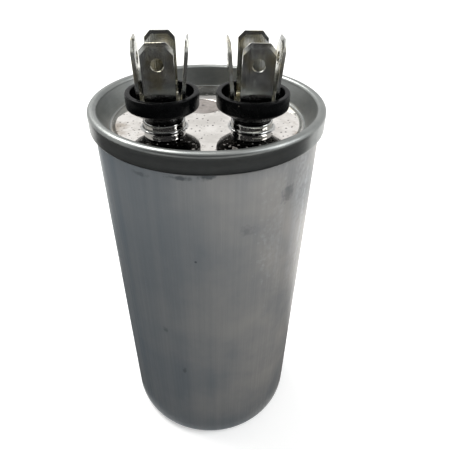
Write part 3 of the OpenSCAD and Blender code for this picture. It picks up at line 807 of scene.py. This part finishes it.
tin, tree, shader, place = start_material("rivet_metal", metallic=1.0)
dull = put_group(tree, clouds, Place=place, Size=0.001, Low=0.35, High=0.7, Seed=6.0)["Mask"]
finish_material(tree, shader, mix_colour(tree, dull, TINNED_STEEL, TINNED_STEEL_DULL),
                spread(tree, dull, 0.0, 1.0, 0.18, 0.36))
set_bump(tree, shader, dull, 0.00004, 0.4)
rivet.data.materials.append(tin)
right_rivet = copy_piece(rivet, "right_rivet_pin", left_to_right)
for piece, cad_node in ((rivet, "left_rivet"), (right_rivet, "right_rivet")):
    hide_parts(cad_node)
    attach(piece, "root")


# --- Inside the can ---------------------------------------------------------------
# What the sealed can holds: the film winding on its core with metal sprayed on both
# ends, wrapped and seated in a cup, the leads, the disc that breaks a lead if the
# lid bulges, and the gaskets, washers and lower insulators under the lid.

def dress(cad_nodes, material):
    """Gives CAD nodes a finish of their own."""
    for cad_node in cad_nodes:
        mesh = frame["nodes"][cad_node].data
        mesh.materials.clear()
        mesh.materials.append(material)


def plain_finish(name, first, second, rough, metallic=0.0, size=0.002, depth=0.00005):
    """A simple finish: two tones in clouds, uneven gloss and a slight grain."""
    material, tree, shader, place = start_material(name, metallic=metallic)
    tone = put_group(tree, clouds, Place=place, Size=size, Low=0.35, High=0.65)["Mask"]
    finish_material(tree, shader, mix_colour(tree, tone, first, second),
                    spread(tree, tone, 0.0, 1.0, rough, rough + 0.12))
    set_bump(tree, shader, tone, depth, 0.5)
    return material


# Metallised film, wound round and round: fine rings on its ends, fine lines round its side.
FILM_BRIGHT = (0.46, 0.47, 0.49)
FILM_DARK = (0.33, 0.34, 0.36)

film, tree, shader, place = start_material("film_roll", metallic=0.6)
turns = put_group(tree, drawn_lines, Place=place, Squash=(0.02, 0.02, 1.0), Fineness=2500.0)
finish_material(tree, shader, mix_colour(tree, turns["Shade"], FILM_BRIGHT, FILM_DARK),
                spread(tree, turns["Shade"], 0.0, 1.0, 0.25, 0.4))
dress(["winding"], film)

dress(["seam_seal", "left_gasket", "right_gasket"],
      plain_finish("rubber_black", (0.016, 0.016, 0.016), (0.030, 0.030, 0.029), 0.6))
dress(["left_lower_insulator", "right_lower_insulator"],
      plain_finish("black_moulding_inside", (0.008, 0.008, 0.009), (0.016, 0.016, 0.017), 0.35))
dress(["left_washer", "right_washer"],
      plain_finish("washer_steel", (0.55, 0.56, 0.57), (0.42, 0.43, 0.45), 0.3, metallic=1.0))
dress(["left_lead", "right_lead"],
      plain_finish("copper_strap", (0.62, 0.30, 0.17), (0.45, 0.20, 0.11), 0.3, metallic=1.0))
dress(["interrupter_plate", "lower_cup"],
      plain_finish("cream_moulding", (0.60, 0.54, 0.40), (0.52, 0.46, 0.34), 0.45))
dress(["core_tube"],
      plain_finish("core_plastic", (0.30, 0.33, 0.36), (0.24, 0.27, 0.30), 0.4))
dress(["upper_spray", "lower_spray"],
      plain_finish("zinc_spray", (0.40, 0.40, 0.41), (0.28, 0.28, 0.29), 0.6,
                   metallic=0.8, size=0.0006, depth=0.0002))
dress(["winding_wrap"],
      plain_finish("wrap_film", (0.55, 0.52, 0.44), (0.48, 0.45, 0.38), 0.3))


# --- Studio -----------------------------------------------------------------------
# A pale floor that runs into a white surround, and two soft lamps overhead. A dark
# card on the floor and a dark screen in front are seen by mirroring metal alone.

FLOOR_LEVEL = -0.2
FLOOR_PALE = (0.88, 0.88, 0.87)
FLOOR_PALER = (0.90, 0.90, 0.89)
FLOOR_GLOW = 0.30
SURROUND_LIGHT = 0.55
CARD_TURN = (-215, 20)
CARD_REACH = 520
CARD_SHADE = 0.02
SCREEN_TURN = (-155, -25)
SCREEN_R = 500
SCREEN_LOW = 210
SCREEN_TOP = 900
SCREEN_SHADE = 0.03


def looked_along(tree):
    """One for rays from the camera, a mirror or clear glass, nought for those that bring light."""
    rays = tree.nodes.new("ShaderNodeLightPath").outputs
    mirrored = maths(tree, "MAXIMUM", rays["Is Glossy Ray"], rays["Is Transmission Ray"])
    return maths(tree, "MAXIMUM", rays["Is Camera Ray"], mirrored)


def finish_card(card, shade):
    """Paints a dark card that only mirroring metal sees."""
    material, tree, shader, place = start_material(card.name + "_paper", Roughness=1.0)
    weave = put_group(tree, clouds, Place=place, Size=0.02, Low=0.3, High=0.7)["Mask"]
    finish_material(tree, shader, mix_colour(tree, weave, (shade, shade, shade * 1.1),
                                             (shade * 1.2, shade * 1.2, shade * 1.3)))
    card.data.materials.append(material)
    for ray in ("camera", "diffuse", "shadow", "transmission"):
        setattr(card, "visible_" + ray, False)


def hang_lamp(name, location, size, watts, colour):
    """A soft square lamp aimed at the middle of the can, its place and size in metres."""
    bpy.ops.object.light_add(type="AREA", location=location)
    lamp = bpy.context.object
    lamp.name = name
    lamp.data.shape = "SQUARE"
    lamp.data.size = size
    lamp.data.energy = watts
    lamp.data.color = colour
    aim = Vector(location) - Vector((0, 0, 0.06))
    lamp.rotation_euler = aim.to_track_quat("Z", "Y").to_euler()


bpy.ops.object.select_all(action="DESELECT")
bpy.ops.mesh.primitive_plane_add(size=4.0, location=(0, 0.3, FLOOR_LEVEL / 1000))
floor = bpy.context.object
floor.name = "floor"
bpy.ops.object.mode_set(mode="EDIT")
bpy.ops.mesh.subdivide(number_cuts=3)
bpy.ops.object.mode_set(mode="OBJECT")
bpy.ops.object.transform_apply(location=True)
paper, tree, shader, place = start_material("pale_paper", Roughness=0.9)
mottle = put_group(tree, clouds, Place=place, Size=0.05, Low=0.3, High=0.7)["Mask"]
finish_material(tree, shader, mix_colour(tree, mottle, FLOOR_PALE, FLOOR_PALER))
glow = add_node(tree, "ShaderNodeEmission",
                {"Color": (1, 1, 1, 1),
                 "Strength": maths(tree, "MULTIPLY", looked_along(tree), FLOOR_GLOW)})
both = add_node(tree, "ShaderNodeAddShader", {0: shader.outputs[0], 1: glow.outputs[0]})
tree.links.new(both.outputs[0], tree.nodes["Material Output"].inputs["Surface"])
floor.data.materials.append(paper)

world = bpy.data.worlds.new("surround")
bpy.context.scene.world = world
world.use_nodes = True
tree = world.node_tree
backdrop = tree.nodes["Background"]
backdrop.inputs["Color"].default_value = (1, 1, 1, 1)
tree.links.new(spread(tree, looked_along(tree), 0.0, 1.0, SURROUND_LIGHT, 1.0),
               backdrop.inputs["Strength"])

# The card lies round the can, from its left side over the front to its right side,
# and the screen stands clear of the floor, in an arc across the front.
card = start_piece("floor_card")
inner = CAN_R + 1
draw_chain([(x, y, 1) for x, y in arc((0, 0), inner, *CARD_TURN, steps=30)])
bpy.ops.mesh.extrude_region_move(TRANSFORM_OT_translate={"value": (0, 0, 0)})
bpy.ops.transform.resize(value=(CARD_REACH / inner, CARD_REACH / inner, 1),
                         center_override=(0, 0, 0))
bpy.ops.object.mode_set(mode="OBJECT")
finish_card(card, CARD_SHADE)

screen = start_piece("dark_screen")
draw_chain([(x, y, SCREEN_LOW) for x, y in arc((0, 0), SCREEN_R, *SCREEN_TURN, steps=24)])
bpy.ops.mesh.extrude_region_move(
    TRANSFORM_OT_translate={"value": (0, 0, (SCREEN_TOP - SCREEN_LOW) / 1000)})
bpy.ops.object.mode_set(mode="OBJECT")
finish_card(screen, SCREEN_SHADE)

hang_lamp("key", (-0.35, 0.30, 0.75), 0.5, 7.0, (1.0, 0.99, 0.97))
hang_lamp("fill", (0.55, -0.15, 0.55), 0.5, 3.0, (0.97, 0.98, 1.0))

# The camera looks down on the lid from close in front; its place is in metres and
# its angles are in radians.
CAMERA_PLACE = (0.0046101, -0.0910025, 0.132979)
CAMERA_LENS = 33.774
PITCH, YAW, ROLL = 0.6508, -0.0042, 0.0135

bpy.ops.object.camera_add(location=CAMERA_PLACE)
camera = bpy.context.object
camera.data.sensor_width = 36.0
camera.data.lens = CAMERA_LENS
camera.data.clip_start = 0.005
forward = Vector((math.sin(YAW) * math.cos(PITCH), math.cos(YAW) * math.cos(PITCH),
                  -math.sin(PITCH)))
right = Vector((math.cos(YAW), -math.sin(YAW), 0))
up = right.cross(forward)
across = math.cos(ROLL) * right + math.sin(ROLL) * up
upward = math.cos(ROLL) * up - math.sin(ROLL) * right
camera.rotation_euler = Matrix((across, upward, -forward)).transposed().to_euler()
bpy.context.scene.camera = camera
bpy.context.scene.view_settings.view_transform = "Standard"
